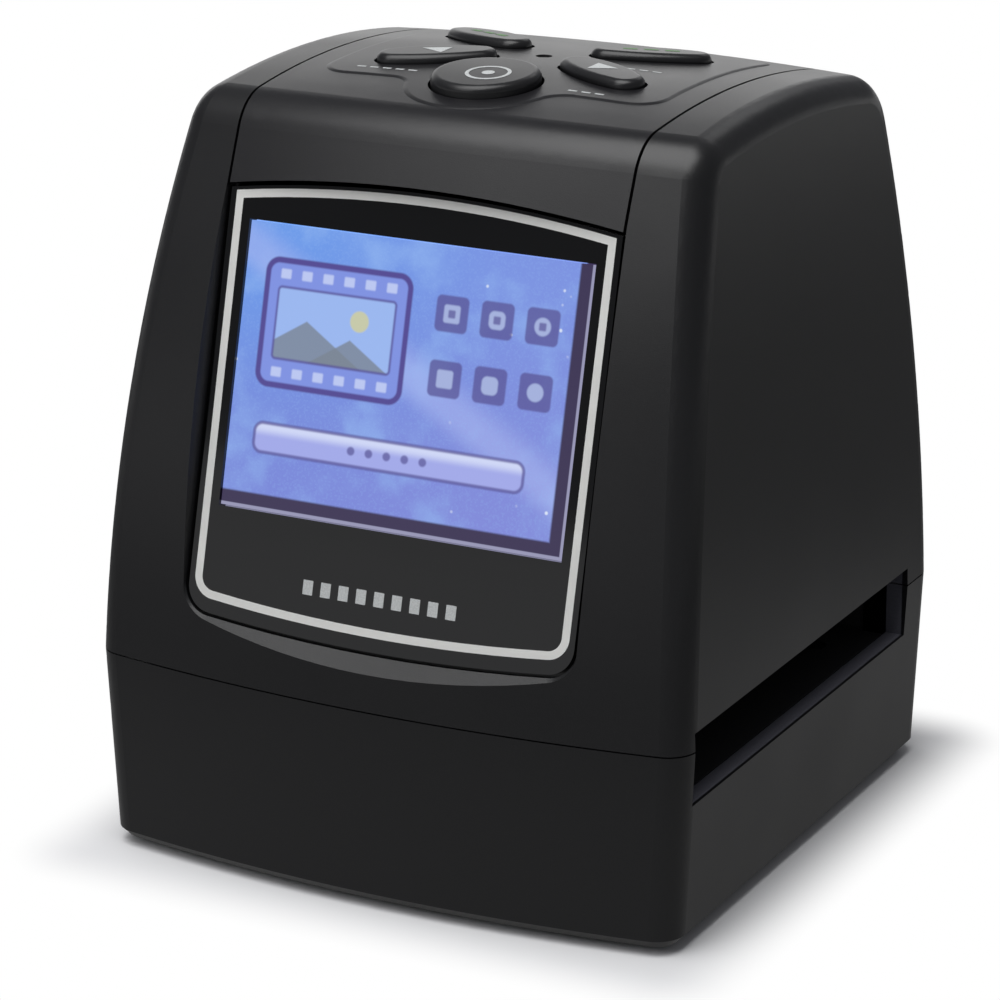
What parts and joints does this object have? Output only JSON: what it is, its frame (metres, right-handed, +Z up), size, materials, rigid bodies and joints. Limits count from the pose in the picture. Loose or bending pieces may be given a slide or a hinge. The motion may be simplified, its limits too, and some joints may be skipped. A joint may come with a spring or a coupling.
{
  "type": "film negative scanner",
  "caption": "Compact desktop film scanner with a leaning front screen, a film slot that goes straight through its foot, and push buttons on its domed top.",
  "frame": {"origin": "centre of the overall box in plan, at the bottom of the feet", "axes": "+Z up, -Y towards the user (the side with the screen), +X to the user's right, so film travels along X"},
  "size_m": [0.0862, 0.0862, 0.1037],
  "materials": {
    "base_case": "fine satin texture",
    "upper_case": "fine satin texture",
    "top_cover": "fine satin texture",
    "display_plate": "polished",
    "plate_trim": "satin silver",
    "lcd_panel": "lit screen",
    "lcd_gasket": "closed foam",
    "backlight": "white sheet",
    "lcd_frame": "stamped",
    "scan_button": "satin",
    "mirror_button": "satin",
    "flip_button": "satin",
    "power_button": "satin",
    "menu_button": "satin",
    "scan_plunger": "moulded",
    "mirror_plunger": "moulded",
    "flip_plunger": "moulded",
    "power_plunger": "moulded",
    "menu_plunger": "moulded",
    "tact_switches": "stamped shell",
    "button_board": "coated circuit board",
    "status_led": "moulded",
    "light_pipe": "clear",
    "film_bed": "matt black",
    "gate_plate": "matt black",
    "diffuser": "opal",
    "light_box": "white",
    "led_board": "white coated circuit board",
    "lamp_leds": "moulded",
    "light_shroud": "matt black",
    "lens_holder": "matt black",
    "lens_barrel": "black anodised",
    "lens_glass": "coated",
    "ir_filter": "tinted",
    "image_sensor": "glass covered",
    "sensor_board": "coated circuit board",
    "main_board": "coated circuit board",
    "main_chips": "moulded",
    "card_socket": "stamped",
    "usb_socket": "stamped",
    "av_jack": "moulded",
    "board_sockets": "moulded",
    "display_flex": "film ribbon",
    "sensor_flex": "film ribbon",
    "button_flex": "film ribbon",
    "light_lead": "insulated wire",
    "case_screws": "plated",
    "board_screws": "plated",
    "guide_screws": "blackened",
    "foot_front_left": "soft",
    "foot_front_right": "soft",
    "foot_rear_left": "soft",
    "foot_rear_right": "soft"
  },
  "bodies": {
    "housing": {"base_case": "base_case", "upper_case": "upper_case", "top_cover": "top_cover", "display_plate": "display_plate", "plate_trim": "plate_trim", "lcd_panel": "lcd_panel", "lcd_gasket": "lcd_gasket", "backlight": "backlight", "lcd_frame": "lcd_frame", "tact_switches": "tact_switches", "button_board": "button_board", "status_led": "status_led", "light_pipe": "light_pipe", "film_bed": "film_bed", "gate_plate": "gate_plate", "diffuser": "diffuser", "light_box": "light_box", "led_board": "led_board", "lamp_leds": "lamp_leds", "light_shroud": "light_shroud", "lens_holder": "lens_holder", "lens_barrel": "lens_barrel", "lens_glass": "lens_glass", "ir_filter": "ir_filter", "image_sensor": "image_sensor", "sensor_board": "sensor_board", "main_board": "main_board", "main_chips": "main_chips", "card_socket": "card_socket", "usb_socket": "usb_socket", "av_jack": "av_jack", "board_sockets": "board_sockets", "display_flex": "display_flex", "sensor_flex": "sensor_flex", "button_flex": "button_flex", "light_lead": "light_lead", "case_screws": "case_screws", "board_screws": "board_screws", "guide_screws": "guide_screws", "foot_front_left": "foot_front_left", "foot_front_right": "foot_front_right", "foot_rear_left": "foot_rear_left", "foot_rear_right": "foot_rear_right"},
    "scan": {"scan_button": "scan_button", "scan_plunger": "scan_plunger"},
    "mirror": {"mirror_button": "mirror_button", "mirror_plunger": "mirror_plunger"},
    "flip": {"flip_button": "flip_button", "flip_plunger": "flip_plunger"},
    "power": {"power_button": "power_button", "power_plunger": "power_plunger"},
    "menu": {"menu_button": "menu_button", "menu_plunger": "menu_plunger"}
  },
  "joints": [
    {"name": "scan_press", "type": "slide", "parent": "housing", "child": "scan", "axis": [0, 0, -1], "range_m": [0, 0.0005], "stiffness_N_per_m": 900},
    {"name": "mirror_press", "type": "slide", "parent": "housing", "child": "mirror", "axis": [0, 0, -1], "range_m": [0, 0.0005], "stiffness_N_per_m": 900},
    {"name": "flip_press", "type": "slide", "parent": "housing", "child": "flip", "axis": [0, 0, -1], "range_m": [0, 0.0005], "stiffness_N_per_m": 900},
    {"name": "power_press", "type": "slide", "parent": "housing", "child": "power", "axis": [0, 0, -1], "range_m": [0, 0.0005], "stiffness_N_per_m": 900},
    {"name": "menu_press", "type": "slide", "parent": "housing", "child": "menu", "axis": [0, 0, -1], "range_m": [0, 0.0005], "stiffness_N_per_m": 900}
  ]
}
